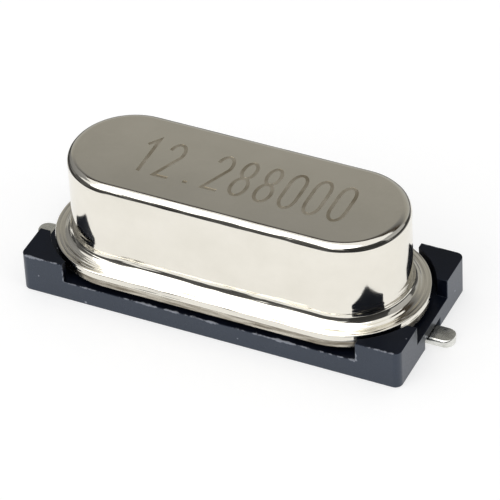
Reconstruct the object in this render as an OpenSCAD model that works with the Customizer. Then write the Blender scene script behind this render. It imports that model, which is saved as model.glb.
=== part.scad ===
// Surface-mount quartz crystal unit: a welded metal can on a moulded insulating base.
// Millimetres. +Z is up and +X runs along the can. The origin is the middle of the
// underside, at the level of the circuit board.

/* [Can] */
// Length of the can over its wall
can_l = 10.0; // [8:0.1:12.5]
// Width of the can over its wall
can_w = 3.55; // [3:0.05:4.5]
// Height of the can, from its weld face to its top
can_h = 2.9; // [2.5:0.05:3.5]
// Thickness of the can's sheet
can_t = 0.22; // [0.15:0.01:0.24]
// Outside radius of the can's top edge
can_edge_r = 0.25; // [0.25:0.01:0.4]
// Radius in the corner where the wall turns out into the flange
can_foot_r = 0.34; // [0.2:0.01:0.36]
// Radius on the outer edges of the can's flange
can_lip_r = 0.04; // [0.02:0.01:0.05]
// Width of the weld flange beyond the can's wall, on can and header alike
flange_out = 0.5; // [0.42:0.01:0.6]

/* [Header] */
// Thickness of the header's sheet
header_t = 0.26; // [0.18:0.01:0.3]
// Height of the header's platform above its flange
platform_h = 0.56; // [0.5:0.01:0.8]
// Outside radius of the platform's top edge
platform_edge_r = 0.32; // [0.31:0.01:0.4]
// Radius in the corner between platform and flange
platform_foot_r = 0.08; // [0.05:0.01:0.12]
// Radius on the lower edge of the header's flange
header_edge_r = 0.06; // [0.04:0.01:0.12]
// Radius on the upper edge of the header's flange
header_lip_r = 0.03; // [0.02:0.01:0.05]
// How far the edge of the header's flange stays inside the can's
weld_step = 0.04; // [0.02:0.01:0.06]
// Gap between the platform and the inside of the can
plug_gap = 0.04; // [0.02:0.01:0.08]
// Radius of each glass seal
seal_r = 0.575; // [0.48:0.005:0.6]
// Wall of the collar that each glass seal fills
collar_t = 0.2; // [0.12:0.01:0.25]
// Depth of the hollow that the glass sets with
seal_dip = 0.04; // [0.02:0.01:0.08]

/* [Leads] */
// Diameter of the lead wire
wire_d = 0.43; // [0.34:0.01:0.52]
// Distance of each lead from the centre of the can's end arc, towards the middle
lead_inset = 0.785; // [0.7:0.005:0.95]
// Height of the nail head's top above the platform
nail_h = 0.4; // [0.3:0.01:0.5]
// Diameter of the nail head
nail_d = 0.8; // [0.6:0.01:1]
// Thickness of the nail head
nail_t = 0.12; // [0.08:0.01:0.2]
// Length of lead that stays round below the header
round_l = 0.05; // [0.02:0.01:0.1]
// Width of the flattened part of the lead
flat_w = 0.65; // [0.54:0.01:0.8]
// Thickness of the flattened part of the lead
flat_t = 0.25; // [0.2:0.01:0.3]
// Radius on the edges of the flattened part
flat_edge_r = 0.08; // [0.04:0.01:0.09]
// Radius of the lead's tip, seen from above
tip_r = 0.42; // [0.42:0.01:0.8]
// Inside radius of the lead's bend
bend_r = 0.1; // [0.08:0.01:0.13]
// Length of lead that sticks out past each end of the base
lead_out = 0.65; // [0.5:0.01:1]

/* [Crystal] */
// Room between each end of the blank and the inside of the can
blank_room = 0.78; // [0.6:0.01:1.2]
// Width of the quartz blank
blank_w = 1.8; // [1.5:0.05:2]
// Thickness of the quartz blank
blank_t = 0.225; // [0.18:0.005:0.3]
// Length of the bevel on each end of the blank
bevel_l = 0.25; // [0.1:0.01:0.35]
// Depth of the bevel on each end of the blank
bevel_h = 0.03; // [0.01:0.005:0.04]
// Thickness of the silver film
film_t = 0.01; // [0.01:0.002:0.02]
// Length of each electrode's working area
pad_l = 4.4; // [3.5:0.1:4.8]
// Width of each electrode's working area
pad_w = 1.4; // [1.2:0.05:1.45]
// Width of the strip that takes the electrode round the blank's end
tab_w = 0.9; // [0.8:0.05:1]
// Length of the strip's landing on the blank's other face
landing_l = 0.7; // [0.5:0.05:0.8]

/* [Clips] */
// Thickness of the clip's strip
clip_t = 0.1; // [0.08:0.01:0.12]
// Width of the clip's strip
clip_w = 1.2; // [1:0.05:1.3]
// Inside radius of the clip's bends
clip_r = 0.1; // [0.06:0.01:0.12]
// Height of the clip's riser, between its bends
riser_h = 0.1; // [0.05:0.01:0.2]
// Room between the blank's end and the start of the clip's loop
loop_room = 0.01; // [0:0.01:0.05]
// Length of the hook over the blank, from the blank's end
hook_l = 0.45; // [0.35:0.01:0.55]
// Width of the slot that makes the clip springy
slot_w = 0.3; // [0.2:0.01:0.4]
// Length of the slot
slot_l = 0.55; // [0.4:0.01:0.6]
// Radius of each dot of conductive adhesive
dot_r = 0.38; // [0.3:0.01:0.4]
// Height of each dot above the blank's film
dot_h = 0.22; // [0.18:0.01:0.3]

/* [Base] */
// Thickness of the base's plate
plate_h = 0.6; // [0.52:0.01:0.85]
// Height of the raised seat that carries the header, above the plate
seat_h = 0.13; // [0.08:0.01:0.2]
// Distance of the seat's edge inside the flange's edge
seat_inset = 0.42; // [0.35:0.01:0.45]
// Length of plate past each end of the flange
end_rim = 0.2; // [0.15:0.01:0.4]
// Width of plate past each side of the flange
side_rim = 0.025; // [0.02:0.005:0.2]
// Height of the corner posts above the board
post_h = 1.2; // [1:0.01:1.3]
// Length of each corner post, along the base
post_l = 1.3; // [1:0.05:1.5]
// Width of each corner post, across the base
post_w = 1.25; // [1:0.05:1.4]
// Gap between the posts and the header's flange
post_gap = 0.13; // [0.04:0.01:0.16]
// Radius of the base's upright corner edges
base_corner_r = 0.22; // [0.1:0.01:0.3]
// Width of the channel under the base in which each lead lies
channel_w = 1.05; // [0.95:0.01:1.15]
// Room above the lead in its channel
channel_gap = 0.05; // [0.04:0.01:0.12]
// Gap round the lead where it passes up through the base
hole_gap = 0.06; // [0.05:0.01:0.1]

/* [Hidden] */
$fn = 96;
past = 1;                                // how far a cutting shape runs past what it cuts
slice = 0.01;                            // thickness of the end slices of a blended shape

wall_r = can_w / 2;                      // outside of the can's wall, from its end arc's centre
straight = can_l - can_w;                // the stretch between the two end arcs
flange_r = wall_r + flange_out;

z_seat = plate_h + seat_h;               // underside of the header's flange
z_weld = z_seat + header_t;              // where can and header are welded
z_top = z_weld + can_h;                  // top of the can
z_platform = z_weld + platform_h;
z_nail = z_platform + nail_h;            // top of the leads, under the clips

lead_x = straight / 2 - lead_inset;
base_l = straight + 2 * (flange_r + end_rim);
base_w = 2 * (flange_r + side_rim);
lead_tip = base_l / 2 + lead_out;
z_bend = flat_t + bend_r;                // centre of the lead's bend

blank_l = can_l - 2 * (can_t + blank_room);
z_shelf = z_nail + 2 * (clip_t + clip_r) + riser_h;    // top of the clip's shelf
loop_r = blank_t / 2 + film_t;           // inside radius of the clip's loop
z_blank = z_shelf + loop_r;              // middle of the blank's thickness
z_film = z_shelf + 2 * loop_r;           // top of the film on the blank
foot_l = nail_d;                         // the clip's foot covers the nail head

// A quarter of a disc in the first quadrant, turned by a right angle `turns` times.
module quarter_disc(r, turns) {
    rotate(90 * turns) intersection() {
        circle(r);
        square(r + past);
    }
}

// A quarter of a flat ring, turned in the same way.
module quarter_ring(outer_r, width, turns) {
    difference() {
        quarter_disc(outer_r, turns);
        circle(outer_r - width);
    }
}

// A rectangle with round corners, centred.
module round_rect(length, width, r) {
    square([length - 2 * r, width], center = true);
    square([length, width - 2 * r], center = true);
    for (x = [0, 1], y = [0, 1])
        mirror([x, 0]) mirror([0, y]) translate([length / 2 - r, width / 2 - r]) quarter_disc(r, 0);
}

// The outline of the can: a rectangle with half-round ends.
module racetrack(r) {
    square([straight, 2 * r], center = true);
    for (x = [-1, 1]) translate([x * straight / 2, 0]) circle(r);
}

// Sweeps a section round the can's outline. The section's x runs outwards from the
// centre of the end arc, and its y is the height.
module sweep_racetrack() {
    for (x = [-1, 1])
        translate([x * straight / 2, 0, 0]) rotate(-90 * x) rotate_extrude(angle = 180) children();
    rotate([90, 0, 90]) linear_extrude(straight, center = true) {
        children();
        mirror([1, 0]) children();
    }
}

// Extrudes a side view, drawn in X and Z, to a width across Y.
module across(width) {
    rotate([90, 0, 0]) linear_extrude(width, center = true) children();
}

// Puts a piece drawn for the right-hand end at the end that side names, 1 or -1.
module at_end(side) {
    mirror([side > 0 ? 0 : 1, 0, 0]) children();
}

// Moulded base: plate, raised seat, and four posts that stand round the header's flange.
module insulator_base() {
    hole_l = wire_d + 2 * hole_gap;
    hole_w = flat_w + 2 * hole_gap;
    color("#1c1d22") difference() {
        union() {
            linear_extrude(plate_h) round_rect(base_l, base_w, base_corner_r);
            translate([0, 0, plate_h]) linear_extrude(seat_h) racetrack(flange_r - seat_inset);
            translate([0, 0, plate_h]) linear_extrude(post_h - plate_h) difference() {
                intersection() {
                    round_rect(base_l, base_w, base_corner_r);
                    for (x = [-1, 1], y = [-1, 1])
                        translate([x * base_l / 2, y * base_w / 2])
                            square([2 * post_l, 2 * post_w], center = true);
                }
                racetrack(flange_r + post_gap);
            }
        }
        for (x = [-1, 1]) {
            translate([x * lead_x, 0, z_seat / 2])
                cube([hole_l, hole_w, z_seat + 2 * past], center = true);
            at_end(x) translate([lead_x - hole_l / 2, -channel_w / 2, -past])
                cube([base_l, channel_w, flat_t + channel_gap + past]);
        }
    }
}

// Stamped header: a flange, and a platform that plugs the can.
module header_section() {
    plug_r = wall_r - can_t - plug_gap;
    flat_x = plug_r + platform_foot_r;
    z_foot = z_weld + platform_foot_r;
    z_edge = z_platform - platform_edge_r;
    edge_x = flange_r - weld_step;
    translate([0, z_platform - header_t]) square([plug_r - platform_edge_r, header_t]);
    translate([plug_r - platform_edge_r, z_edge]) quarter_ring(platform_edge_r, header_t, 0);
    translate([plug_r - header_t, z_foot]) square([header_t, z_edge - z_foot]);
    translate([flat_x, z_foot]) quarter_ring(platform_foot_r + header_t, header_t, 2);
    translate([flat_x, z_seat]) square([edge_x - header_edge_r - flat_x, header_t]);
    translate([edge_x - header_edge_r, z_seat + header_edge_r])
        square([header_edge_r, header_t - header_edge_r - header_lip_r]);
    translate([edge_x - header_edge_r, z_weld - header_lip_r])
        square([header_edge_r - header_lip_r, header_lip_r]);
    translate([edge_x - header_edge_r, z_seat + header_edge_r]) quarter_disc(header_edge_r, 3);
    translate([edge_x - header_lip_r, z_weld - header_lip_r]) quarter_disc(header_lip_r, 0);
}

module header() {
    color("#c9c4b8") difference() {
        union() {
            sweep_racetrack() header_section();
            for (x = [-lead_x, lead_x])
                translate([x, 0, z_seat]) cylinder(h = z_platform - z_seat, r = seal_r + collar_t);
        }
        for (x = [-lead_x, lead_x])
            translate([x, 0, z_seat - past])
                cylinder(h = z_platform - z_seat + 2 * past, r = seal_r);
    }
}

// Drawn can: flat top, upright wall, and a flange turned out at the foot.
module can_section() {
    foot_x = wall_r + can_foot_r;
    z_foot = z_weld + can_t + can_foot_r;
    lip_x = flange_r - can_lip_r;
    translate([0, z_top - can_t]) square([wall_r - can_edge_r, can_t]);
    translate([wall_r - can_edge_r, z_top - can_edge_r]) quarter_ring(can_edge_r, can_t, 0);
    translate([wall_r - can_t, z_foot]) square([can_t, z_top - can_edge_r - z_foot]);
    translate([foot_x, z_foot]) quarter_ring(can_foot_r + can_t, can_t, 2);
    translate([foot_x, z_weld]) square([lip_x - foot_x, can_t]);
    translate([lip_x, z_weld + can_lip_r]) square([can_lip_r, can_t - 2 * can_lip_r]);
    translate([lip_x, z_weld + can_lip_r]) quarter_disc(can_lip_r, 3);
    translate([lip_x, z_weld + can_t - can_lip_r]) quarter_disc(can_lip_r, 0);
}

module metal_can() {
    color("#d9d5cc") sweep_racetrack() can_section();
}

// Glass bead fused between collar and lead, with the hollow top that it sets with.
module glass_seal(side) {
    ring_w = seal_r - wire_d / 2;
    dip_r = (pow(ring_w / 2, 2) + pow(seal_dip, 2)) / (2 * seal_dip);
    color("#3f6f78") translate([side * lead_x, 0, 0]) rotate_extrude() difference() {
        translate([wire_d / 2, z_seat]) square([ring_w, z_platform - z_seat]);
        translate([wire_d / 2 + ring_w / 2, z_platform - seal_dip + dip_r]) circle(dip_r);
    }
}

// Cross-section of the flattened wire: its thickness along x and its width along y.
module flat_section() {
    round_rect(flat_t, flat_w, flat_edge_r);
}

// Lead: nail head and round wire above, a pressed shoulder, then a flat tail bent outwards.
module lead(side) {
    bend_x = lead_x + flat_t / 2 + bend_r;
    z_round = z_seat - round_l;
    color("#b9b8b2") at_end(side) {
        translate([lead_x, 0, z_round]) cylinder(h = z_nail - z_round, d = wire_d);
        translate([lead_x, 0, z_nail - nail_t]) cylinder(h = nail_t, d = nail_d);
        translate([lead_x, 0, 0]) hull() {
            translate([0, 0, z_round - slice]) linear_extrude(slice) circle(d = wire_d, $fn = 32);
            translate([0, 0, z_bend]) linear_extrude(slice) flat_section($fn = 32);
        }
        translate([bend_x, 0, z_bend]) rotate([90, 0, 0]) rotate(180)
            rotate_extrude(angle = 90) translate([bend_r + flat_t / 2, 0]) flat_section();
        intersection() {
            translate([bend_x, 0, flat_t / 2]) rotate([0, 90, 0])
                linear_extrude(lead_tip - bend_x) flat_section();
            union() {
                translate([bend_x, -tip_r, 0]) cube([lead_tip - tip_r - bend_x, 2 * tip_r, flat_t]);
                translate([lead_tip - tip_r, 0, 0]) cylinder(h = flat_t, r = tip_r);
            }
        }
    }
}

// Side view of a clip, measured from the lead: a foot on the nail head, a riser, a shelf
// under the blank, and a loop round the blank's end that comes back over it as a hook.
module clip_section() {
    riser_x = foot_l / 2 + clip_r;
    shelf_x = riser_x + clip_t + clip_r;
    z_riser = z_nail + clip_t + clip_r;
    end_x = blank_l / 2 - lead_x;
    loop_x = end_x + film_t + loop_room;
    translate([-foot_l / 2, z_nail]) square([foot_l, clip_t]);
    translate([foot_l / 2, z_riser]) quarter_ring(clip_r + clip_t, clip_t, 3);
    translate([riser_x, z_riser]) square([clip_t, riser_h]);
    translate([shelf_x, z_riser + riser_h]) quarter_ring(clip_r + clip_t, clip_t, 1);
    translate([shelf_x, z_shelf - clip_t]) square([loop_x - shelf_x, clip_t]);
    for (turns = [0, 3]) translate([loop_x, z_blank]) quarter_ring(loop_r + clip_t, clip_t, turns);
    translate([end_x - hook_l, z_film]) square([loop_x - end_x + hook_l, clip_t]);
}

module clip(side) {
    color("#b0a690") at_end(side) translate([lead_x, 0, 0]) difference() {
        across(clip_w) clip_section();
        translate([foot_l / 2, -slot_w / 2, z_nail - past])
            cube([slot_l, slot_w, z_film - z_nail + 2 * past]);
    }
}

// Quartz blank, thinner at its ends. Drawn about its own middle.
module quartz_blank() {
    end_x = blank_l / 2;
    flat_x = end_x - bevel_l;
    z = blank_t / 2;
    color("#dfe6e6") translate([0, 0, z_blank]) across(blank_w)
        polygon([[-end_x, z - bevel_h], [-flat_x, z], [flat_x, z], [end_x, z - bevel_h],
                 [end_x, bevel_h - z], [flat_x, -z], [-flat_x, -z], [-end_x, bevel_h - z]]);
}

// Silver film: a pad on one face, and a strip that runs round the blank's end on to the
// other face. Drawn about the blank's middle, with its pad on top.
module electrode() {
    end_x = blank_l / 2;
    flat_x = end_x - bevel_l;
    z = blank_t / 2;
    color("#e4e3df") {
        translate([-pad_l / 2, -pad_w / 2, z]) cube([pad_l, pad_w, film_t]);
        across(tab_w)
            polygon([[0, z], [0, z + film_t], [flat_x, z + film_t],
                     [end_x + film_t, z + film_t - bevel_h], [end_x + film_t, bevel_h - z - film_t],
                     [flat_x, -z - film_t], [end_x - landing_l, -z - film_t],
                     [end_x - landing_l, -z], [flat_x, -z], [end_x, bevel_h - z],
                     [end_x, z - bevel_h], [flat_x, z]]);
    }
}

// Dot of conductive adhesive over the hook's edge, on the blank's film.
module adhesive(side) {
    dome_r = (pow(dot_r, 2) + pow(dot_h, 2)) / (2 * dot_h);
    color("#9a9488") at_end(side) difference() {
        translate([blank_l / 2 - hook_l, 0, z_film]) intersection() {
            translate([0, 0, dot_h - dome_r]) sphere(dome_r);
            cylinder(h = dot_h + past, r = dot_r + past);
        }
        translate([blank_l / 2 - hook_l, -clip_w / 2, z_film - past])
            cube([hook_l + past, clip_w, clip_t + past]);
    }
}

insulator_base();
header();
metal_can();
glass_seal(-1);  // left_glass_seal
glass_seal(1);  // right_glass_seal
lead(-1);  // left_lead
lead(1);  // right_lead
clip(-1);  // left_clip
clip(1);  // right_clip
quartz_blank();
translate([0, 0, z_blank]) electrode();  // top_electrode
translate([0, 0, z_blank]) rotate([0, 180, 0]) electrode();  // bottom_electrode
adhesive(-1);  // left_adhesive
adhesive(1);  // right_adhesive
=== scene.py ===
"""Surface-mount quartz crystal unit: its visible shells, its finishes and its studio.

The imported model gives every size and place. Pieces are modelled at a thousand times size,
where one unit is a millimetre, because Blender's merge distances suit that size.
"""
import math
from types import SimpleNamespace

import bmesh
import bpy
from bpy.props import FloatProperty, FloatVectorProperty, PointerProperty, StringProperty
from mathutils import Matrix, Vector


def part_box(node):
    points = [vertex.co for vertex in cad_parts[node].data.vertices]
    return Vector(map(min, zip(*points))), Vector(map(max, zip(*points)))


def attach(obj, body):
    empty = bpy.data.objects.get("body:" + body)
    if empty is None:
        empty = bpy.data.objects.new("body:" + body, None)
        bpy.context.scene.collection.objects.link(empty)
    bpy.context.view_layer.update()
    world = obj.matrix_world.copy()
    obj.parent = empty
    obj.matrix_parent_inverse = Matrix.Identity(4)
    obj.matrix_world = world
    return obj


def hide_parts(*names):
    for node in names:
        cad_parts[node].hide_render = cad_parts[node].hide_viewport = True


bl_info = {
    "name": "Quartz crystal unit",
    "version": (1, 0, 0),
    "blender": (4, 5, 0),
    "location": "View3D > Sidebar > Crystal",
    "description": "Builds a surface-mount quartz crystal unit round its packed frame",
    "category": "Object",
}

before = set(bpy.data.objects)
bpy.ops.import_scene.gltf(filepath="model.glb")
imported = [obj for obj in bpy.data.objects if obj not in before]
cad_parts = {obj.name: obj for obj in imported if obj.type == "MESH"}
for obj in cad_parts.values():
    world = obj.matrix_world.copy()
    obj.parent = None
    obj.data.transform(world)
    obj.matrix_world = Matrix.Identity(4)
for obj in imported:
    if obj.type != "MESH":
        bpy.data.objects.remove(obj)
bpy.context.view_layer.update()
BODY = "root"
MM = 0.001

# In millimetres
NEAR = 1e-4                      # two places this near are the same
PAST = 1.0                       # how far a cutting shape runs past what it cuts
OVERLAP = 0.1                    # how far a joined shape reaches into what it joins
FLASH_HIGHLIGHT_REACH = 0.1                # how far the pale flash and the painted edge highlight come in from a rim, at most
FLASH_HIGHLIGHT_FADE = 0.03                # how far it takes to fade out
FLOOR_DROP = 0.01                # the floor lies this far below the base, clear of its underside
TABLE_LIFT = 0.05                # how high the dark card round the part lies

# Angles, counts and shares
SMOOTH_ANGLE = math.radians(30)  # an edge that turns the surface less than this shades smooth
CAN_SIDES = 192                  # sides to a full turn round the can's ends
WELL_SIDES = 128                 # sides to a full turn round the base's well and seat
CORNER_POINTS = 8                # points on each round corner of the lead's flat section
BEND_STEPS = 12                  # steps round the lead's bend
TIP_STEPS = 6                    # steps round the corners of its tip
FLAG_SIDES = 128                 # sides of the round studio flags
STREAK_PACE = 0.07               # how fast the can's streaks change along it, against across it

can_lo, can_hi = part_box("metal_can")
base_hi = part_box("insulator_base")[1]
header_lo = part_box("header")[0]
lead_lo, lead_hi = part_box("right_lead")


# ---------------------------------------------------------------- sizes and colours

def length(name, words, default):
    """A size in metres, shown in the user's unit."""
    return FloatProperty(name=name, description=words, default=default, min=0.0, precision=6,
                         unit="LENGTH", subtype="DISTANCE")


def colour(hex_code):
    """An sRGB hex colour as linear values."""
    parts = [int(hex_code[i:i + 2], 16) / 255 for i in (1, 3, 5)]
    return (*[p / 12.92 if p <= 0.04045 else ((p + 0.055) / 1.055) ** 2.4 for p in parts], 1.0)


def tone(name, words, hex_code):
    """A colour that the user may pick."""
    return FloatVectorProperty(name=name, description=words, default=colour(hex_code), size=4,
                               min=0.0, max=1.0, subtype="COLOR")


class CanSizes(bpy.types.PropertyGroup):
    """Sizes of the drawn can."""
    sheet: length("Sheet", "Thickness of the can's sheet", 0.22 * MM)
    flange: length("Flange", "Width of the flange beyond the wall", 0.5 * MM)
    edge: length("Top edge", "Outside radius of the can's top edge", 0.25 * MM)
    foot: length("Foot", "Radius in the corner between wall and flange", 0.34 * MM)
    lip: length("Lip", "Radius on the outer edges of the flange", 0.04 * MM)
    letter: length("Number height", "Height of the etched number", 1.46 * MM)
    digit: length("Digit width", "Width of each etched digit", 0.44 * MM)
    pitch: length("Number pitch", "Distance from one digit to the next", 0.73 * MM)
    shift: length("Number shift", "Distance of the number's middle from the can's", 0.2 * MM)
    stroke: length("Stroke", "Width of the etched line", 0.1 * MM)
    etch: length("Etch depth", "Depth of the etched line", 0.006 * MM)
    number: StringProperty(name="Number", default="12.288000",
                           description="Number etched on the top, made of 0, 1, 2, 8 and points")


class BaseSizes(bpy.types.PropertyGroup):
    """Sizes of the moulded base."""
    plate: length("Plate", "Thickness of the base's plate", 0.6 * MM)
    corner: length("Corner", "Radius of the upright corner edges", 0.22 * MM)
    post: length("Post length", "Length of each corner post", 1.3 * MM)
    post_width: length("Post width", "Width of each corner post", 1.25 * MM)
    post_gap: length("Post gap", "Gap between the posts and the flange", 0.13 * MM)
    seat_inset: length("Seat inset", "Distance of the raised seat inside the flange's edge",
                       0.42 * MM)
    channel: length("Channel width", "Width of the channel for each lead", 1.05 * MM)
    channel_height: length("Channel height", "Height of the channel for each lead", 0.3 * MM)
    hole: length("Hole length", "Length of each lead hole", 0.55 * MM)
    hole_width: length("Hole width", "Width of each lead hole", 0.77 * MM)
    soft: length("Edge softness", "Radius that the mould leaves on its edges", 0.03 * MM)


class LeadSizes(bpy.types.PropertyGroup):
    """Sizes of a lead."""
    wire: length("Wire", "Diameter of the round wire", 0.43 * MM)
    head: length("Nail head", "Diameter of the nail head", 0.8 * MM)
    head_height: length("Head height", "Thickness of the nail head", 0.12 * MM)
    flat: length("Flat thickness", "Thickness of the flattened part", 0.25 * MM)
    width: length("Flat width", "Width of the flattened part", 0.65 * MM)
    edge: length("Flat edge", "Radius on the edges of the flattened part", 0.08 * MM)
    bend: length("Bend", "Inside radius of the bend", 0.1 * MM)
    below: length("Round length", "Length of lead that stays round below the header", 0.05 * MM)
    tip: length("Tip corner", "Radius of the corners of the tip", 0.27 * MM)
    soft: length("Edge softness", "Radius on the edges that the press leaves sharp", 0.02 * MM)


class FinishColours(bpy.types.PropertyGroup):
    """Colours of the finishes, most of which run from a darker tone to a lighter one."""
    nickel: tone("Nickel", "Bright nickel on the can where it is clean", "#ede9df")
    nickel_haze: tone("Nickel haze", "Bright nickel on the can where it is hazy", "#e7e3d8")
    drying_mark: tone("Drying marks", "Rings that drops left on the can", "#d2cab8")
    etch_burnt: tone("Burnt line", "Etched number where it is burnt most", "#aaa08c")
    etch: tone("Etched line", "Etched number where it is burnt least", "#d8d0c0")
    header_streak: tone("Header streaks", "Streaks on the header's nickel", "#7d7568")
    header: tone("Header", "Satin nickel on the header", "#c8c2b5")
    plastic_dark: tone("Dark plastic", "Moulded base at its darkest", "#080b14")
    plastic: tone("Plastic", "Moulded base at its lightest", "#0c101c")
    plastic_sheen: tone("Plastic's sheen", "Tint of what the moulded base mirrors", "#d6e6ff")
    # this pale colour also paints a highlight along the base's upper rims and on the posts'
    # upright inner edges
    flash_and_highlight: tone("Flash", "Flash on the base's rims, and its specks of filler", "#8f929a")
    tin_dark: tone("Dark tin", "Leads at their darkest", "#d3d3cc")
    tin: tone("Tin", "Leads at their lightest", "#efefea")
    glass_dark: tone("Dark glass", "Glass seals at their darkest", "#1f4248")
    glass: tone("Glass", "Glass seals at their lightest", "#3c6d72")
    strip_dark: tone("Dark strip", "Clips at their darkest", "#b3a98f")
    strip: tone("Strip", "Clips at their lightest", "#c9c0a8")
    quartz_dark: tone("Dark quartz", "Blank at its darkest", "#e6ecec")
    quartz: tone("Quartz", "Blank at its lightest", "#f4f7f6")
    silver_dark: tone("Dark silver", "Electrodes at their darkest", "#eeece6")
    silver: tone("Silver", "Electrodes at their lightest", "#f8f7f3")
    epoxy_dark: tone("Dark epoxy", "Adhesive between its flakes", "#8d877c")
    epoxy: tone("Epoxy", "Flakes in the adhesive", "#b7b1a5")


class StudioSizes(bpy.types.PropertyGroup):
    """Where the camera stands, and how bright the studio is."""
    azimuth: FloatProperty(name="Azimuth", description="Camera's direction round the part",
                           default=math.radians(26.8), subtype="ANGLE")
    elevation: FloatProperty(name="Elevation", description="Camera's height above the horizon",
                             default=math.radians(39.4), subtype="ANGLE")
    roll: FloatProperty(name="Roll", description="Camera's turn about its own axis",
                        default=math.radians(-3.1), subtype="ANGLE")
    distance: length("Distance", "Camera's distance from the part", 110 * MM)
    target: FloatVectorProperty(name="Target", description="Point that the camera looks at",
                                default=(0.263 * MM, 0.0, 1.426 * MM), subtype="TRANSLATION")
    lens: FloatProperty(name="Lens", description="Camera's focal length", default=287.9,
                        subtype="DISTANCE_CAMERA", unit="CAMERA")
    ambient: FloatProperty(name="Ambient", description="How brightly the world lights the part",
                           default=0.7, min=0.0)
    paper: FloatProperty(name="Paper", description="How much the floor's own white shows",
                         default=0.6, min=0.0)


def millimetres(group):
    """The group's lengths in millimetres, and its other values as they are."""
    values = {}
    for name, prop in group.bl_rna.properties.items():
        if name in ("rna_type", "name"):
            continue
        value = getattr(group, name)
        values[name] = value / MM if getattr(prop, "unit", "NONE") == "LENGTH" else value
    return SimpleNamespace(**values)


# ---------------------------------------------------------------- modelling by hand

def deselect():
    for thing in bpy.context.selected_objects:
        thing.select_set(False)


def take(piece):
    """Selects one piece alone and makes it the active one."""
    deselect()
    piece.select_set(True)
    bpy.context.view_layer.objects.active = piece


def start(primitive, name, **settings):
    """Adds a primitive, opens it in edit mode with all of it selected, and names it."""
    deselect()
    getattr(bpy.ops.mesh, f"primitive_{primitive}_add")(**settings)
    piece = bpy.context.object
    piece.name = name
    bpy.ops.object.transform_apply(location=True, rotation=True, scale=True)
    bpy.ops.object.mode_set(mode="EDIT")
    bpy.ops.mesh.select_all(action="SELECT")
    return piece


def pick(kind, test):
    """Selects what the test accepts, where kind is verts, edges or faces."""
    bpy.ops.mesh.select_all(action="DESELECT")
    bpy.ops.mesh.select_mode(type={"verts": "VERT", "edges": "EDGE", "faces": "FACE"}[kind])
    mesh = bmesh.from_edit_mesh(bpy.context.object.data)
    for item in getattr(mesh, kind):
        if test(item):
            item.select_set(True)
    mesh.select_flush_mode()
    bmesh.update_edit_mesh(bpy.context.object.data)


def leave_edit():
    bpy.ops.object.mode_set(mode="OBJECT")


def modify(piece, kind, **settings):
    """Adds a modifier and applies it."""
    take(piece)
    modifier = piece.modifiers.new(kind.title(), kind)
    for name, value in settings.items():
        setattr(modifier, name, value)
    bpy.ops.object.modifier_apply(modifier=modifier.name)


def cut(piece, tool, operation="DIFFERENCE", **settings):
    """Combines a piece with a tool's solid, and then removes the tool."""
    modify(piece, "BOOLEAN", operation=operation, object=tool, solver="EXACT", **settings)
    bpy.data.objects.remove(tool)


def soften(piece, radius, segments, sharper_than):
    """Rounds the edges that turn the surface by more than an angle in degrees."""
    modify(piece, "BEVEL", width=radius, segments=segments, limit_method="ANGLE",
           angle_limit=math.radians(sharper_than))


def finish(piece):
    """Shades a piece, brings it to its real size and puts it on the part's body."""
    take(piece)
    bpy.ops.object.shade_smooth_by_angle(angle=SMOOTH_ANGLE)
    modify(piece, "WEIGHTED_NORMAL", weight=90, keep_sharp=True)
    piece.scale = (MM, MM, MM)
    bpy.ops.object.transform_apply(location=True, rotation=True, scale=True)
    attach(piece, BODY)


# ---------------------------------------------------------------- materials

def tint(name):
    """One of the user's colours for the finishes."""
    return tuple(getattr(bpy.context.scene.crystal_colours, name))


def node(tree, kind, inputs=None, stops=(), **settings):
    """Adds a node with its settings, and a colour ramp's stops as (place, grey or colour). An
    input is a value, an output, or a node that stands for the first output it shows."""
    made = tree.nodes.new("ShaderNode" + kind)
    for name, value in settings.items():
        setattr(made, name, value)
    for name, value in (inputs or {}).items():
        if isinstance(value, bpy.types.Node):
            value = next(output for output in value.outputs if output.enabled)
        if isinstance(value, bpy.types.NodeSocket):
            tree.links.new(value, made.inputs[name])
        else:
            made.inputs[name].default_value = value
    if stops:
        points = made.color_ramp.elements
        while len(points) < len(stops):
            points.new(0.5)
        for point, (position, shade) in zip(points, stops):
            point.position = position
            point.color = shade if isinstance(shade, tuple) else (shade, shade, shade, 1)
    return made


def empty_tree(owner):
    """The node tree of a new material or world, with nothing in it."""
    owner.use_nodes = True
    owner.node_tree.nodes.clear()
    return owner.node_tree


def new_material(name):
    """A material, its empty tree, and the place on the piece in metres."""
    material = bpy.data.materials.new(name)
    tree = empty_tree(material)
    return material, tree, node(tree, "TexCoord").outputs["Object"]


def give_finish(tree, inputs):
    """Puts a Principled shader with these inputs on the surface."""
    shader = node(tree, "BsdfPrincipled", inputs)
    node(tree, "OutputMaterial", {"Surface": shader})


def per_mm(size):
    """Noise scale, on coordinates in metres, for features of a size in millimetres."""
    return 1 / (size * MM)


def crown(tree, place):
    """Falls from 1 at the can's middle line to 0 at its sides, for a faintly domed sheet."""
    y = node(tree, "SeparateXYZ", {"Vector": place}).outputs["Y"]
    share = node(tree, "Math", {0: y, 1: can_hi.y}, operation="DIVIDE")
    square = node(tree, "Math", {0: share, 1: 2.0}, operation="POWER")
    return node(tree, "Math", {0: 1.0, 1: square}, operation="SUBTRACT")


def drawn_rounds(tree, place):
    """How much the draw streaked the sheet: all of it on the flange, less round the foot and the
    top edge, and none elsewhere."""
    height = node(tree, "SeparateXYZ", {"Vector": place}).outputs["Z"]
    share = node(tree, "MapRange", {"Value": height, "From Min": can_lo.z, "From Max": can_hi.z})
    return node(tree, "ValToRGB", {"Fac": share},
                [(0.0, 1.0), (0.08, 1.0), (0.1, 0.38), (0.2, 0.38), (0.26, 0.0), (0.9, 0.0),
                 (0.93, 0.4), (0.98, 0.4), (1.0, 0.0)])


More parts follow.
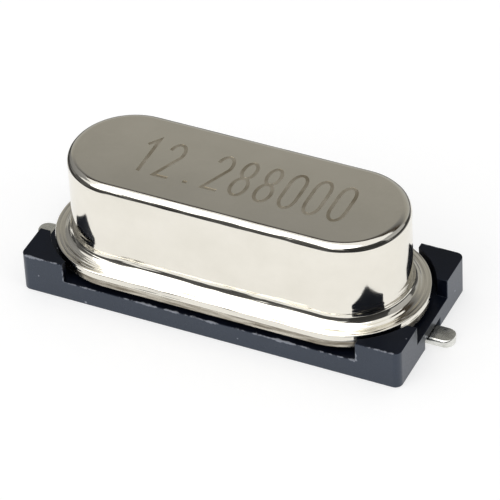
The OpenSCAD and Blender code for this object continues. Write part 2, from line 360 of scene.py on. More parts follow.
def along_outline(tree, place):
    """A place whose X is the distance from the can's middle line, and whose Y changes slowly
    along the can, so that a pattern on it runs round the can in long streaks."""
    axes = node(tree, "SeparateXYZ", {"Vector": place}).outputs
    arc_x = can_hi.x - can_hi.y
    end = node(tree, "Math", {0: axes["X"]}, operation="ABSOLUTE")
    beyond = node(tree, "Math", {0: end, 1: arc_x}, operation="SUBTRACT")
    into_arc = node(tree, "Math", {0: beyond, 1: 0.0}, operation="MAXIMUM")
    flat = node(tree, "CombineXYZ", {"X": into_arc, "Y": axes["Y"]})
    out = node(tree, "VectorMath", {0: flat}, operation="LENGTH")
    slow = node(tree, "Math", {0: axes["X"], 1: STREAK_PACE}, operation="MULTIPLY")
    return node(tree, "CombineXYZ", {"X": out, "Y": slow, "Z": axes["Z"]})


def handling_marks(tree, place):
    """Faint rings that drops leave as they dry, about a fifth of a millimetre across."""
    drops = node(tree, "TexVoronoi", {"Vector": place, "Scale": per_mm(2.2)})
    ring_line = node(tree, "ValToRGB", {"Fac": drops}, [(0.03, 0.15), (0.045, 1.0), (0.06, 0.0)])
    chosen = node(tree, "ValToRGB", {"Fac": drops.outputs["Color"]}, [(0.5, 0.0), (0.55, 1.0)])
    return node(tree, "Math", {0: ring_line, 1: chosen}, operation="MULTIPLY")


def nickel_plate():
    """Bright nickel on drawn steel: a warm mirror, with the crown and the swell that the draw
    leaves in the sheet, fine streaks that run round it where it was bent, an orange peel that
    softens what it reflects, and the faint marks of handling."""
    material, tree, place = new_material("bright_nickel_plate")
    swell = node(tree, "TexNoise", {"Vector": place, "Scale": per_mm(2.6), "Detail": 1.0})
    peel = node(tree, "TexNoise", {"Vector": place, "Scale": per_mm(0.22), "Detail": 2.0})
    haze = node(tree, "TexNoise",
                {"Vector": place, "Scale": per_mm(1.4), "Detail": 4.0, "Roughness": 0.6})
    drawn = node(tree, "TexNoise",
                 {"Vector": along_outline(tree, place), "Scale": per_mm(0.15), "Detail": 2.0})
    streaks = node(tree, "Math", {0: drawn, 1: drawn_rounds(tree, place)}, operation="MULTIPLY")
    clean = node(tree, "ValToRGB", {"Fac": haze},
                 [(0.3, tint("nickel")), (0.7, tint("nickel_haze"))])
    marked = node(tree, "Mix", {"Factor": handling_marks(tree, place), "A": clean,
                                "B": tint("drying_mark")}, data_type="RGBA")
    domed = node(tree, "Bump", {"Height": crown(tree, place), "Distance": 0.02 * MM})
    swelled = node(tree, "Bump", {"Height": swell, "Distance": 0.012 * MM, "Normal": domed})
    bent = node(tree, "Bump", {"Height": streaks, "Distance": 0.06 * MM, "Normal": swelled})
    peeled = node(tree, "Bump", {"Height": peel, "Distance": 0.0006 * MM, "Normal": bent})
    dull = node(tree, "ValToRGB", {"Fac": haze}, [(0.35, 0.07), (0.75, 0.14)])
    give_finish(tree, {"Metallic": 1.0, "Base Color": marked, "Roughness": dull,
                       "Normal": peeled})
    return material


def etched_nickel():
    """Nickel darkened by the marking laser: brown-grey and matt, deeper in some places than in
    others, with small burnt pits."""
    material, tree, place = new_material("laser_etched_nickel")
    burn = node(tree, "TexNoise", {"Vector": place, "Scale": per_mm(0.45), "Detail": 3.0})
    pits = node(tree, "TexNoise", {"Vector": place, "Scale": per_mm(0.04), "Detail": 3.0})
    shade = node(tree, "ValToRGB", {"Fac": burn}, [(0.3, tint("etch_burnt")), (0.7, tint("etch"))])
    relief = node(tree, "Bump", {"Height": pits, "Distance": 0.002 * MM})
    give_finish(tree, {"Metallic": 1.0, "Base Color": shade, "Roughness": 0.32,
                       "Normal": relief})
    return material


def header_plate():
    """Nickel on stamped alloy: duller than the can, streaked brown-grey round the sheared edge."""
    material, tree, place = new_material("satin_nickel_plate")
    along = node(tree, "Mapping", {"Vector": place, "Scale": (0.12, 0.12, 1.0)})
    streaks = node(tree, "TexNoise", {"Vector": along, "Scale": per_mm(0.1), "Detail": 3.0})
    grain = node(tree, "TexNoise", {"Vector": place, "Scale": per_mm(0.12), "Detail": 3.0})
    shade = node(tree, "ValToRGB", {"Fac": streaks},
                 [(0.35, tint("header_streak")), (0.6, tint("header"))])
    dull = node(tree, "ValToRGB", {"Fac": grain}, [(0.3, 0.2), (0.7, 0.3)])
    relief = node(tree, "Bump", {"Height": grain, "Distance": 0.0004 * MM})
    give_finish(tree, {"Metallic": 1.0, "Base Color": shade, "Roughness": dull,
                       "Normal": relief})
    return material


def rim_flash_and_highlight(tree, place):
    """Ragged strength of the pale flash and painted highlight: high along the long upper rims of
    plate and posts, where it is partly moulding flash and partly a painted highlight, and on the
    posts' upright inner edges, where it is a painted highlight alone."""
    sizes = bpy.context.scene.crystal_base
    axes = node(tree, "SeparateXYZ", {"Vector": place}).outputs
    side = node(tree, "Math", {0: axes["Y"]}, operation="ABSOLUTE")
    over = node(tree, "Math", {0: base_hi.y, 1: side}, operation="SUBTRACT")
    end = node(tree, "Math", {0: axes["X"]}, operation="ABSOLUTE")
    into_post = node(tree, "Math", {0: end, 1: base_hi.x - sizes.post}, operation="SUBTRACT")
    on_post = node(tree, "Math", {0: into_post, 1: 0.0}, operation="GREATER_THAN")
    rim = node(tree, "Mix", {"Factor": on_post, 2: sizes.plate, 3: base_hi.z}, data_type="FLOAT")
    below_rim = node(tree, "Math", {0: axes["Z"], 1: rim}, operation="SUBTRACT")
    # beside the plate a metre is added, which is past any reach: the plate has no inner edge
    beside_plate = node(tree, "Math", {0: axes["Z"], 1: sizes.plate}, operation="LESS_THAN")
    past_edge = node(tree, "Math", {0: into_post, 1: beside_plate}, operation="ADD")
    gaps = []
    for across in (below_rim, past_edge):
        away = node(tree, "CombineXYZ", {"X": over, "Y": across})
        gaps.append(node(tree, "VectorMath", {0: away}, operation="LENGTH"))
    gap = node(tree, "Math", {0: gaps[0], 1: gaps[1]}, operation="MINIMUM")
    patches = node(tree, "TexNoise",
                   {"Vector": place, "Scale": per_mm(0.5), "Detail": 5.0, "Roughness": 0.75})
    ragged = node(tree, "ValToRGB", {"Fac": patches}, [(0.4, 0.0), (0.7, 1.0)])
    reach = node(tree, "Math", {0: ragged, 1: FLASH_HIGHLIGHT_REACH * MM}, operation="MULTIPLY")
    share = node(tree, "Math", {0: reach, 1: gap}, operation="SUBTRACT")
    return node(tree, "MapRange", {"Value": share, "From Max": FLASH_HIGHLIGHT_FADE * MM})


def moulded_black(finish_name, shine, smooth, rough):
    """Glass-filled polyester, injection moulded: blue-black, with a fine satin grain from the
    mould, sparse pale specks of filler, and ragged pale flash along its long upper rims that is
    also a painted highlight there and on the posts' upright inner edges. Its index is above the
    usual 1.6 and its sheen is cool, because its skin mirrors the room strongly at a slant. Shine
    is its specular level, and its roughness runs from smooth to rough."""
    material, tree, place = new_material(finish_name + "_black_polyester")
    grain = node(tree, "TexNoise",
                 {"Vector": place, "Scale": per_mm(0.06), "Detail": 4.0, "Roughness": 0.6})
    cloud = node(tree, "TexNoise", {"Vector": place, "Scale": per_mm(0.9), "Detail": 3.0})
    specks = node(tree, "TexVoronoi", {"Vector": place, "Scale": per_mm(0.55)})
    spot = node(tree, "ValToRGB", {"Fac": specks}, [(0.0, 1.0), (0.055, 1.0), (0.075, 0.0)])
    body = node(tree, "ValToRGB", {"Fac": cloud},
                [(0.3, tint("plastic_dark")), (0.7, tint("plastic"))])
    # pale specks and flash, and a painted highlight along the rims and the posts' upright inner
    # edges
    pale = node(tree, "Math", {0: spot, 1: rim_flash_and_highlight(tree, place)}, operation="MAXIMUM")
    mixed = node(tree, "Mix", {"Factor": pale, "A": body, "B": tint("flash_and_highlight")}, data_type="RGBA")
    dull = node(tree, "ValToRGB", {"Fac": grain}, [(0.3, smooth), (0.7, rough)])
    relief = node(tree, "Bump", {"Height": grain, "Distance": 0.002 * MM})
    give_finish(tree, {"IOR": 1.8, "Specular IOR Level": shine,
                       "Specular Tint": tint("plastic_sheen"), "Base Color": mixed,
                       "Roughness": dull, "Normal": relief})
    return material


def tinned_alloy():
    """Tin dipped on pressed alloy wire: bright and soft, with shallow ripples from the press."""
    material, tree, place = new_material("tinned_alloy")
    ripple = node(tree, "TexNoise", {"Vector": place, "Scale": per_mm(0.2), "Detail": 2.0})
    film = node(tree, "TexNoise", {"Vector": place, "Scale": per_mm(0.15), "Detail": 2.0})
    shade = node(tree, "ValToRGB", {"Fac": ripple}, [(0.3, tint("tin_dark")), (0.7, tint("tin"))])
    dull = node(tree, "ValToRGB", {"Fac": film}, [(0.3, 0.2), (0.7, 0.3)])
    relief = node(tree, "Bump", {"Height": ripple, "Distance": 0.004 * MM})
    give_finish(tree, {"Metallic": 1.0, "Base Color": shade, "Roughness": dull,
                       "Normal": relief})
    return material


def sealing_glass():
    """Barium sealing glass, fused in place: dark green-blue, glossy, with a few bubbles."""
    material, tree, place = new_material("fused_sealing_glass")
    bubbles = node(tree, "TexNoise", {"Vector": place, "Scale": per_mm(0.1), "Detail": 2.0})
    shade = node(tree, "ValToRGB", {"Fac": bubbles},
                 [(0.35, tint("glass_dark")), (0.75, tint("glass"))])
    relief = node(tree, "Bump", {"Height": bubbles, "Distance": 0.003 * MM})
    give_finish(tree, {"IOR": 1.52, "Roughness": 0.06, "Transmission Weight": 0.35,
                       "Base Color": shade, "Normal": relief})
    return material


def spring_strip():
    """Rolled nickel silver: yellow-grey, with fine lines along the strip."""
    material, tree, place = new_material("rolled_nickel_silver")
    along = node(tree, "Mapping", {"Vector": place, "Scale": (0.1, 1.0, 0.1)})
    lines = node(tree, "TexNoise", {"Vector": along, "Scale": per_mm(0.03), "Detail": 3.0})
    shade = node(tree, "ValToRGB", {"Fac": lines},
                 [(0.3, tint("strip_dark")), (0.7, tint("strip"))])
    relief = node(tree, "Bump", {"Height": lines, "Distance": 0.001 * MM})
    give_finish(tree, {"Metallic": 1.0, "Base Color": shade, "Roughness": 0.3, "Normal": relief})
    return material


def lapped_quartz():
    """Lapped quartz: clear crystal with a ground, frosted face. Its grit is drawn about three
    times as coarse as it is, so that it shows."""
    material, tree, place = new_material("lapped_quartz")
    grit = node(tree, "TexNoise", {"Vector": place, "Scale": per_mm(0.03), "Detail": 3.0})
    shade = node(tree, "ValToRGB", {"Fac": grit},
                 [(0.3, tint("quartz_dark")), (0.7, tint("quartz"))])
    relief = node(tree, "Bump", {"Height": grit, "Distance": 0.002 * MM})
    give_finish(tree, {"IOR": 1.544, "Roughness": 0.35, "Transmission Weight": 0.9,
                       "Base Color": shade, "Normal": relief})
    return material


def silver_film():
    """Silver evaporated on lapped quartz: bright, and as fine-grained as the face under it."""
    material, tree, place = new_material("evaporated_silver")
    grit = node(tree, "TexNoise", {"Vector": place, "Scale": per_mm(0.03), "Detail": 3.0})
    shade = node(tree, "ValToRGB", {"Fac": grit},
                 [(0.3, tint("silver_dark")), (0.7, tint("silver"))])
    relief = node(tree, "Bump", {"Height": grit, "Distance": 0.001 * MM})
    give_finish(tree, {"Metallic": 1.0, "Base Color": shade, "Roughness": 0.28,
                       "Normal": relief})
    return material


def silver_adhesive():
    """Cured silver-filled epoxy: dull grey, with the filler showing as fine flakes, which are
    drawn about twice as coarse as they are, so that they show."""
    material, tree, place = new_material("silver_filled_epoxy")
    flakes = node(tree, "TexNoise",
                  {"Vector": place, "Scale": per_mm(0.02), "Detail": 4.0, "Roughness": 0.7})
    shade = node(tree, "ValToRGB", {"Fac": flakes},
                 [(0.35, tint("epoxy_dark")), (0.65, tint("epoxy"))])
    relief = node(tree, "Bump", {"Height": flakes, "Distance": 0.004 * MM})
    give_finish(tree, {"Metallic": 0.5, "Base Color": shade, "Roughness": 0.55,
                       "Normal": relief})
    return material


# ---------------------------------------------------------------- the can

def racetrack_ends(piece, straight):
    """Makes half a round shape into the can's outline: it moves out along X to be one of the two
    half-round ends, its open edge is drawn back to the middle, and the whole is mirrored."""
    arc_x = straight / 2
    bpy.ops.mesh.select_all(action="SELECT")
    bpy.ops.transform.translate(value=(arc_x, 0, 0))
    pick("edges", lambda e: e.is_boundary and all(abs(v.co.x - arc_x) < NEAR for v in e.verts))
    bpy.ops.mesh.extrude_edges_move(TRANSFORM_OT_translate={"value": (-arc_x, 0, 0)})
    leave_edit()
    modify(piece, "MIRROR", use_axis=(True, False, False), use_clip=True, merge_threshold=NEAR)


def half_drum(name, radius, low, high, sides):
    """Half of an open-based drum with its flat side at the YZ plane, in edit mode."""
    piece = start("cylinder", name, vertices=sides, radius=radius, depth=high - low,
                  location=(0, 0, (low + high) / 2))
    pick("faces", lambda f: f.normal.z < -0.9)
    bpy.ops.mesh.delete(type="FACE")
    bpy.ops.mesh.select_all(action="SELECT")
    bpy.ops.mesh.bisect(plane_co=(0, 0, 0), plane_no=(1, 0, 0), clear_inner=True, threshold=NEAR)
    return piece


def ring(radius, height):
    """A test for an edge of a level ring about the Z axis."""
    return lambda e: all(abs(v.co.z - height) < NEAR and abs(v.co.xy.length - radius) < 10 * NEAR
                         for v in e.verts) and not all(abs(v.co.x) < NEAR for v in e.verts)


def build_can(s):
    """Draws the can: half a drum with a turned-out flange and round edges, made into the can's
    outline and given its sheet."""
    flange_r = can_hi.y / MM
    wall_r = flange_r - s.flange
    straight = 2 * (can_hi.x / MM - flange_r)
    top = can_hi.z / MM
    face = can_lo.z / MM + s.sheet
    can = half_drum("can_shell", wall_r, face, top, CAN_SIDES)
    pick("edges", ring(wall_r, face))
    bpy.ops.mesh.extrude_edges_move()
    spread = flange_r / wall_r
    bpy.ops.transform.resize(value=(spread, spread, 1), center_override=(0, 0, face))
    pick("edges", ring(wall_r, top))
    bpy.ops.mesh.bevel(offset=s.edge, segments=16, affect="EDGES", clamp_overlap=False)
    pick("edges", ring(wall_r, face))
    bpy.ops.mesh.bevel(offset=s.foot, segments=12, affect="EDGES", clamp_overlap=False)
    racetrack_ends(can, straight)
    modify(can, "SOLIDIFY", thickness=s.sheet, offset=-1, use_even_offset=True)
    soften(can, s.lip, segments=4, sharper_than=60)
    return can


def arc(x, y, rx, ry, first, last, steps=10):
    """Points on an oval arc, with its angles in degrees from +X."""
    angles = [math.radians(first + (last - first) * i / steps) for i in range(steps + 1)]
    return [(x + rx * math.cos(a), y + ry * math.sin(a)) for a in angles]


# Each character's strokes, in a cell one unit high and one wide
STROKES = {
    "0": [arc(0.5, 0.72, 0.5, 0.28, 0, 180) + arc(0.5, 0.28, 0.5, 0.28, 180, 360) + [(1.0, 0.72)]],
    "1": [[(0.1, 0.8), (0.6, 1.0), (0.6, 0.0)]],
    "2": [arc(0.5, 0.74, 0.48, 0.26, 170, -20) + [(0.02, 0.0), (1.0, 0.0)]],
    "8": [arc(0.5, 0.76, 0.42, 0.24, -90, 270, 20), arc(0.5, 0.26, 0.5, 0.26, 90, 450, 20)],
    ".": [[(0.36, 0.02), (0.64, 0.02)]],
}


def etched_number(s, top):
    """Upright ribbons along each digit's strokes, thickened to the width of the etched line."""
    start_x = s.shift - s.pitch * (len(s.number) - 1) / 2 - s.digit / 2
    line = bpy.data.curves.new("number", "CURVE")
    line.dimensions = "2D"
    line.fill_mode = "NONE"
    # centred just above the top, the ribbons reach from the etch's floor to clear of the top
    line.extrude = 2 * s.etch
    for place, digit in enumerate(s.number):
        for stroke in STROKES[digit]:
            closed = math.dist(stroke[0], stroke[-1]) < NEAR
            points = stroke[:-1] if closed else stroke
            spline = line.splines.new("POLY")
            spline.use_cyclic_u = closed
            spline.points.add(len(points) - 1)
            for point, (x, y) in zip(spline.points, points):
                point.co = (start_x + place * s.pitch + x * s.digit, (y - 0.5) * s.letter, 0, 1)
    tool = bpy.data.objects.new("number", line)
    bpy.context.scene.collection.objects.link(tool)
    tool.location.z = top + s.etch
    take(tool)
    bpy.ops.object.convert(target="MESH")
    bpy.ops.object.transform_apply(location=True)
    modify(tool, "SOLIDIFY", thickness=s.stroke, offset=0, use_even_offset=True)
    return tool


class CRYSTAL_OT_can(bpy.types.Operator):
    """Draw the can and etch its number"""
    bl_idname = "crystal.can"
    bl_label = "Can"

    def execute(self, context):
        s = millimetres(context.scene.crystal_can)
        can = build_can(s)
        can.data.materials.append(nickel_plate())
        tool = etched_number(s, can_hi.z / MM)
        tool.data.materials.append(etched_nickel())
        cut(can, tool, material_mode="TRANSFER", use_self=True)
        finish(can)
        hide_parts("metal_can")
        return {"FINISHED"}


# ---------------------------------------------------------------- the base

def block(name, low, high):
    """A plain block between two corners, in object mode."""
    piece = start("cube", name, size=1, location=[(a + b) / 2 for a, b in zip(low, high)],
                  scale=[b - a for a, b in zip(low, high)])
    leave_edit()
    return piece


def racetrack_block(name, radius, straight, low, high):
    """A solid with the can's outline, between two heights."""
    piece = half_drum(name, radius, low, high, WELL_SIDES)
    racetrack_ends(piece, straight)
    bpy.ops.object.mode_set(mode="EDIT")
    pick("edges", lambda e: e.is_boundary)
    bpy.ops.mesh.edge_face_add()
    leave_edit()
    return piece


def build_base(s):
    """Moulds the base: a round-cornered block, cut down to leave its plate and posts, with the
    header's seat joined on, and a hole and a channel for each lead."""
    half_l, half_w, top = base_hi.x / MM, base_hi.y / MM, base_hi.z / MM
    flange_r = can_hi.y / MM
    straight = 2 * (can_hi.x / MM - flange_r)
    seat = header_lo.z / MM
    base = start("cube", "base_moulding", size=1, location=(0, 0, top / 2),
                 scale=(2 * half_l, 2 * half_w, top))
    pick("edges", lambda e: abs(e.verts[0].co.z - e.verts[1].co.z) > NEAR)
    bpy.ops.mesh.bevel(offset=s.corner, segments=10, affect="EDGES")
    leave_edit()
    cut(base, racetrack_block("well", flange_r + s.post_gap, straight, s.plate, top + PAST))
    long_gap = half_l - s.post
    wide_gap = half_w - s.post_width
    cut(base, block("side_gap", (-long_gap, -half_w - PAST, s.plate),
                    (long_gap, half_w + PAST, top + PAST)))
    cut(base, block("end_gap", (-half_l - PAST, -wide_gap, s.plate),
                    (half_l + PAST, wide_gap, top + PAST)))
    cut(base, racetrack_block("seat", flange_r - s.seat_inset, straight, s.plate - OVERLAP, seat),
        "UNION")
    lead_x = (lead_lo.x + bpy.context.scene.crystal_lead.head / 2) / MM
    for side in (-1, 1):
        middle = side * lead_x
        inner = middle - side * s.hole / 2
        outer = side * (half_l + PAST)
        cut(base, block("hole", (middle - s.hole / 2, -s.hole_width / 2, -PAST),
                        (middle + s.hole / 2, s.hole_width / 2, top)))
        cut(base, block("channel", (min(inner, outer), -s.channel / 2, -PAST),
                        (max(inner, outer), s.channel / 2, s.channel_height)))
    soften(base, s.soft, segments=3, sharper_than=40)
    return base


def faces_out(face, corner):
    """Whether a face is on the base's outer sides, which take the satin copy of the plastic. The
    top, the well and the underside take the matt copy, whose lower shine is a painted shade that
    keeps them dark."""
    looks_up_or_down = abs(face.normal.z) > 0.7
    if looks_up_or_down:
        return False
    half = (base_hi.x / MM, base_hi.y / MM)
    return any(face.normal[axis] * face.center[axis] > 0 and
               abs(face.center[axis]) > half[axis] - corner - NEAR for axis in (0, 1))


class CRYSTAL_OT_base(bpy.types.Operator):
    """Mould the base"""
    bl_idname = "crystal.base"
    bl_label = "Base"

    def execute(self, context):
        s = millimetres(context.scene.crystal_base)
        base = build_base(s)
        # two copies of one plastic: the matt one's lower shine is a painted shade for the faces
        # that look up or down
        base.data.materials.append(moulded_black("satin", shine=0.5, smooth=0.26, rough=0.36))
        base.data.materials.append(moulded_black("matt", shine=0.12, smooth=0.3, rough=0.4))
        for face in base.data.polygons:
            face.material_index = 0 if faces_out(face, s.corner) else 1
        finish(base)
        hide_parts("insulator_base")
        return {"FINISHED"}


# ---------------------------------------------------------------- the leads

def build_lead(s):
    """Presses the right-hand lead: a flat section, spun round the bend and drawn to the tip,
    and a round wire with a nail head, bridged to the flat by a shoulder."""
    tip_x = lead_hi.x / MM
    top = lead_hi.z / MM
    middle = lead_lo.x / MM + s.head / 2
    bend_x = middle + s.flat / 2 + s.bend
    bend_z = s.flat + s.bend
    round_z = header_lo.z / MM - s.below
    lead = start("plane", "lead_wire", size=1, location=(middle, 0, bend_z))
    bpy.ops.transform.resize(value=(s.flat, s.width, 1), center_override=(middle, 0, bend_z))
    bpy.ops.mesh.bevel(offset=s.edge, segments=CORNER_POINTS - 1, affect="VERTICES")
    bpy.ops.mesh.select_all(action="SELECT")
    bpy.ops.mesh.spin(steps=BEND_STEPS, angle=math.radians(90), center=(bend_x, 0, bend_z),
                      axis=(0, 1, 0))
    # the spin leaves its last section selected, which is drawn out and then narrowed to the tip
    width, x = s.width, bend_x
    straight_end = tip_x - s.tip
    bpy.ops.mesh.extrude_region_move(TRANSFORM_OT_translate={"value": (straight_end - x, 0, 0)})
    x = straight_end
    for step in range(1, TIP_STEPS + 1):
        turn = math.radians(90 * step / TIP_STEPS)
        next_x = straight_end + s.tip * math.sin(turn)
        next_width = s.width - 2 * s.tip * (1 - math.cos(turn))
        bpy.ops.mesh.extrude_region_move(TRANSFORM_OT_translate={"value": (next_x - x, 0, 0)})
        bpy.ops.transform.resize(value=(1, next_width / width, 1), center_override=(x, 0, 0))
        width, x = next_width, next_x
    # the section that was spun loses its face, so that its open edge can be bridged to the wire
    pick("faces", lambda f: len(f.verts) > 4 and abs(f.normal.z) > 0.9)
    bpy.ops.mesh.delete(type="ONLY_FACE")
    bpy.ops.mesh.select_all(action="DESELECT")
    bpy.ops.mesh.primitive_circle_add(vertices=4 * CORNER_POINTS, radius=s.wire / 2,
                                      location=(middle, 0, round_z))
    under_head = top - s.head_height
    for height, radius in ((under_head, s.wire / 2), (under_head, s.head / 2), (top, s.head / 2)):
        mesh = bmesh.from_edit_mesh(lead.data)
        picked = [v for v in mesh.verts if v.select]
        now_r = max((v.co.xy - Vector((middle, 0))).length for v in picked)
        bpy.ops.mesh.extrude_edges_move(
            TRANSFORM_OT_translate={"value": (0, 0, height - picked[0].co.z)})
        bpy.ops.transform.resize(value=(radius / now_r, radius / now_r, 1),
                                 center_override=(middle, 0, height))
    bpy.ops.mesh.edge_face_add()
    pick("edges", lambda e: e.is_boundary)
    bpy.ops.mesh.bridge_edge_loops()
    bpy.ops.mesh.select_all(action="SELECT")
    bpy.ops.mesh.normals_make_consistent(inside=False)
    leave_edit()
    soften(lead, s.soft, segments=2, sharper_than=50)
    return lead


class CRYSTAL_OT_leads(bpy.types.Operator):
    """Press and bend both leads"""
    bl_idname = "crystal.leads"
    bl_label = "Leads"

    def execute(self, context):
        material = tinned_alloy()
        s = millimetres(context.scene.crystal_lead)
        for side in ("right", "left"):
            lead = build_lead(s)
            lead.name = side + "_lead_wire"
            if side == "left":
                lead.rotation_euler.z = math.pi
                bpy.ops.object.transform_apply(rotation=True)
            lead.data.materials.append(material)
            finish(lead)
            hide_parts(side + "_lead")
        return {"FINISHED"}


# ---------------------------------------------------------------- header and inner pieces

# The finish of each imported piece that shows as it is, by how its name ends
FINISHES = {
    "header": header_plate,
    "glass_seal": sealing_glass,
    "clip": spring_strip,
    "quartz_blank": lapped_quartz,
    "electrode": silver_film,
    "adhesive": silver_adhesive,
}


class CRYSTAL_OT_inner(bpy.types.Operator):
    """Give the header and the sealed inner pieces their finishes"""
    bl_idname = "crystal.inner"
    bl_label = "Header and inner pieces"

    def execute(self, context):
        for ending, make in FINISHES.items():
            material = make()
            for name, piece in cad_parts.items():
                if name.endswith(ending):
                    piece.data.materials[0] = material
        return {"FINISHED"}


# ---------------------------------------------------------------- the studio

WHITE = (1.0, 1.0, 1.0, 1.0)
PAPER_GREY = (0.5, 0.5, 0.5, 1.0)
CLIP_START = 0.01                # metres from the camera, nearer than the part ever is
FLOOR_X = 0.1                    # metres that the floor lies to the right, the camera's side

# Each lamp's name, azimuth and elevation in degrees, distance, width and height in metres,
# radiance, and whether it is for glints alone
SOFTBOXES = (
    ("top_softbox", -15, 72, 0.3, 0.3, 0.2, 1.8, True),
    ("front_softbox", -25, 38, 0.35, 0.3, 0.2, 1.35, False),
    ("side_softbox", 80, 25, 0.35, 0.2, 0.15, 1.2, False),
)

# Each flat flag's name, azimuth, elevation, distance, width and height in the same units, and
# its shades
CARD_FLAGS = (
    ("back_flag", 192, 35, 0.3, 0.8, 0.35,
     [(0.0, 0.45), (0.33, (0.43, 0.43, 0.41, 1)), (0.46, (0.385, 0.375, 0.345, 1)),
      (0.56, (0.345, 0.335, 0.305, 1)), (0.7, 0.2), (0.82, (0.06, 0.05, 0.04, 1)),
      (1.0, (0.04, 0.03, 0.02, 1))]),
    ("left_flag", -100, 30, 0.29, 0.2, 0.25, [(0.0, 0.2), (1.0, 0.3)]),
    ("room_flag", 57, 27, 0.28, 0.36, 0.3, [(0.0, 0.03), (1.0, 0.06)]),
    ("right_flag", 112, 22, 0.29, 0.24, 0.27, [(0.0, 0.5), (1.0, 0.4)]),
)


def shown(tree):
    """1 for the rays that show a thing to the camera, straight, mirrored or through glass, and
    0 for the rays that gather light on the part."""
    rays = node(tree, "LightPath").outputs
    seen = node(tree, "Math", {0: rays["Is Camera Ray"], 1: rays["Is Glossy Ray"]},
                operation="MAXIMUM")
    return node(tree, "Math", {0: seen, 1: rays["Is Transmission Ray"]}, operation="MAXIMUM")


def white_paper(glow):
    """Matt white paper that is lit as it is and keeps the part's shadow, and shows as white.
    From below it can be seen through."""
    material = bpy.data.materials.new("matt_white_paper")
    tree = empty_tree(material)
    paper = node(tree, "BsdfDiffuse", {"Color": PAPER_GREY})
    share = node(tree, "Math", {0: shown(tree), 1: glow}, operation="MULTIPLY")
    shine = node(tree, "Emission", {"Color": WHITE, "Strength": share})
    lit = node(tree, "AddShader", {0: paper, 1: shine})
    under = node(tree, "NewGeometry").outputs["Backfacing"]
    sheet = node(tree, "MixShader", {0: under, 1: lit, 2: node(tree, "BsdfTransparent")})
    node(tree, "OutputMaterial", {"Surface": sheet})
    return material


def white_world(ambient):
    """A world that shows as plain white and lights the part at a level of its own."""
    world = bpy.data.worlds.new("studio")
    tree = empty_tree(world)
    strength = node(tree, "Mix", {"Factor": shown(tree), 2: ambient, 3: 1.0}, data_type="FLOAT")
    sky = node(tree, "Background", {"Color": WHITE, "Strength": strength})
    node(tree, "OutputWorld", {"Surface": sky})
    bpy.context.scene.world = world


def outwards(azimuth, elevation):
    """The direction out from the part at these angles, where azimuth 0 is in front."""
    return Vector((math.sin(azimuth) * math.cos(elevation),
                   -math.cos(azimuth) * math.cos(elevation), math.sin(elevation)))


def aim(thing, azimuth, elevation, distance):
    """Puts a thing round the part, facing it. Its angles are in degrees."""
    back = outwards(math.radians(azimuth), math.radians(elevation))
    thing.location = back * distance
    thing.rotation_euler = (-back).to_track_quat("-Z", "Y").to_euler()


def softbox(name, azimuth, elevation, distance, width, height, radiance, glints):
    """A soft lamp, as bright to look at as its radiance says, where 1 is white. One for glints
    shows in what mirrors it and lights nothing else."""
    lamp = bpy.data.lights.new(name, "AREA")
    lamp.shape = "RECTANGLE"
    lamp.size, lamp.size_y = width, height
    lamp.energy = radiance * math.pi * width * height
    holder = bpy.data.objects.new(name, lamp)
    bpy.context.scene.collection.objects.link(holder)
    holder.visible_diffuse = not glints
    aim(holder, azimuth, elevation, distance)


def flag(name, shades, span, along="Y"):
    """Makes the active object a studio flag, a matt card that shows only in what mirrors it.
    Its shades are (place, brightness), where place runs from 0 to 1 over a span of its own
    axis, or R for the distance from its middle."""
    card = bpy.context.object
    card.name = name
    for kind in ("camera", "diffuse", "transmission", "volume_scatter", "shadow"):
        setattr(card, "visible_" + kind, False)
    material = bpy.data.materials.new(name)
    tree = empty_tree(material)
    spot = node(tree, "TexCoord").outputs["Object"]
    if along == "R":
        distance = node(tree, "VectorMath", {0: spot}, operation="LENGTH")
    else:
        distance = node(tree, "SeparateXYZ", {"Vector": spot}).outputs[along]
    low, high = span
    share = node(tree, "MapRange", {"Value": distance, "From Min": low, "From Max": high})
    glow = node(tree, "Emission", {"Color": node(tree, "ValToRGB", {"Fac": share}, shades)})
    node(tree, "OutputMaterial", {"Surface": glow})
    card.data.materials.append(material)
    return card


def card_flag(name, azimuth, elevation, distance, width, height, shades):
    """A flat flag that faces the part, shaded from its lower edge to its upper one."""
    deselect()
    bpy.ops.mesh.primitive_plane_add(size=1)
    card = flag(name, shades, (-0.5, 0.5))
    card.scale = (width, height, 1)
    aim(card, azimuth, elevation, distance)


def ring_flag(name, radius, height, shades):
    """A flag that stands all round the part, shaded from the floor up."""
    deselect()
    bpy.ops.mesh.primitive_cylinder_add(vertices=FLAG_SIDES, radius=radius, depth=height,
                                        end_fill_type="NOTHING", location=(0, 0, height / 2))
    flag(name, shades, (-height / 2, height / 2), "Z")


def table_flag(name, inner, outer, shades):
    """A flag that lies round the part on the floor, shaded from the inside out."""
    deselect()
    bpy.ops.mesh.primitive_circle_add(vertices=FLAG_SIDES, radius=inner,
                                      location=(0, 0, TABLE_LIFT * MM))
    bpy.ops.object.mode_set(mode="EDIT")
    bpy.ops.mesh.select_all(action="SELECT")
    bpy.ops.mesh.extrude_edges_move()
    spread = outer / inner
    bpy.ops.transform.resize(value=(spread, spread, 1), center_override=(0, 0, 0))
    leave_edit()
    flag(name, shades, (inner, outer), "R")


def lay_floor(paper):
    """Lays a metre of white paper under the part."""
    deselect()
    bpy.ops.mesh.primitive_plane_add(size=1.0, location=(FLOOR_X, 0, -FLOOR_DROP * MM))
    floor = bpy.context.object
    floor.name = "floor"
    floor.data.materials.append(white_paper(paper))


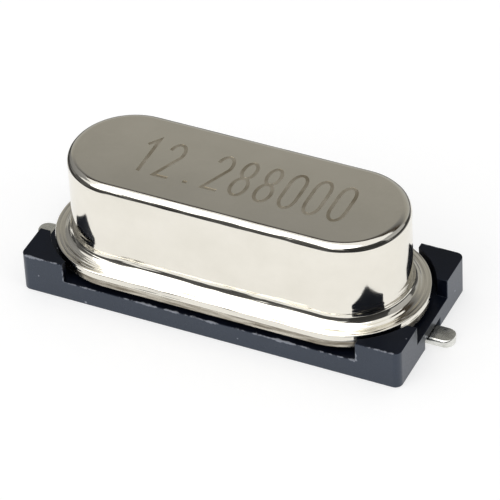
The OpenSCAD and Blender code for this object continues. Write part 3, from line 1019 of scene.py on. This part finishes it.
def place_camera(s):
    """Stands the camera off from its target, turned about its own axis by its roll."""
    back = outwards(s.azimuth, s.elevation)
    level_right = (-back).cross(Vector((0, 0, 1))).normalized()
    level_up = level_right.cross(-back)
    right = math.cos(s.roll) * level_right + math.sin(s.roll) * level_up
    up = math.cos(s.roll) * level_up - math.sin(s.roll) * level_right
    view = bpy.data.cameras.new("camera")
    view.lens = s.lens
    view.clip_start = CLIP_START
    camera = bpy.data.objects.new("camera", view)
    bpy.context.scene.collection.objects.link(camera)
    turn = Matrix((right, up, back)).transposed().to_4x4()
    camera.matrix_world = Matrix.Translation(Vector(s.target) + back * s.distance) @ turn
    bpy.context.scene.camera = camera


class CRYSTAL_OT_stage(bpy.types.Operator):
    """Set the floor, the lights and the camera"""
    bl_idname = "crystal.stage"
    bl_label = "Studio"

    def execute(self, context):
        s = context.scene.crystal_studio
        lay_floor(s.paper)
        white_world(s.ambient)
        for lamp in SOFTBOXES:
            softbox(*lamp)
        ring_flag("horizon_flag", radius=0.45, height=0.22,
                  shades=[(0.0, 0.12), (0.3, 0.07), (0.7, 0.12), (1.0, 0.6)])
        table_flag("table_flag", inner=0.011, outer=0.45,
                   shades=[(0.0, 0.8), (0.01, 0.08), (0.05, 0.03)])
        for card in CARD_FLAGS:
            card_flag(*card)
        place_camera(s)
        context.scene.view_settings.view_transform = "Standard"
        return {"FINISHED"}


# ---------------------------------------------------------------- the add-on

OPERATORS = (CRYSTAL_OT_can, CRYSTAL_OT_base, CRYSTAL_OT_leads, CRYSTAL_OT_inner, CRYSTAL_OT_stage)


class CRYSTAL_PT_panel(bpy.types.Panel):
    """The crystal unit's pieces, and their sizes and colours"""
    bl_label = "Quartz crystal unit"
    bl_idname = "CRYSTAL_PT_panel"
    bl_space_type = "VIEW_3D"
    bl_region_type = "UI"
    bl_category = "Crystal"

    def draw(self, context):
        for operator in OPERATORS:
            self.layout.operator(operator.bl_idname)
        for name, group in GROUPS.items():
            box = self.layout.box()
            for size in group.__annotations__:
                box.prop(getattr(context.scene, name), size)


GROUPS = {"crystal_can": CanSizes, "crystal_base": BaseSizes, "crystal_lead": LeadSizes,
          "crystal_colours": FinishColours, "crystal_studio": StudioSizes}


def register():
    for made in (*GROUPS.values(), *OPERATORS, CRYSTAL_PT_panel):
        bpy.utils.register_class(made)
    for name, group in GROUPS.items():
        setattr(bpy.types.Scene, name, PointerProperty(type=group))


def unregister():
    for name in GROUPS:
        delattr(bpy.types.Scene, name)
    for made in reversed((*GROUPS.values(), *OPERATORS, CRYSTAL_PT_panel)):
        bpy.utils.unregister_class(made)


def main():
    register()
    bpy.ops.crystal.can()
    bpy.ops.crystal.base()
    bpy.ops.crystal.leads()
    bpy.ops.crystal.inner()
    bpy.ops.crystal.stage()


if __name__ == "__main__":
    main()
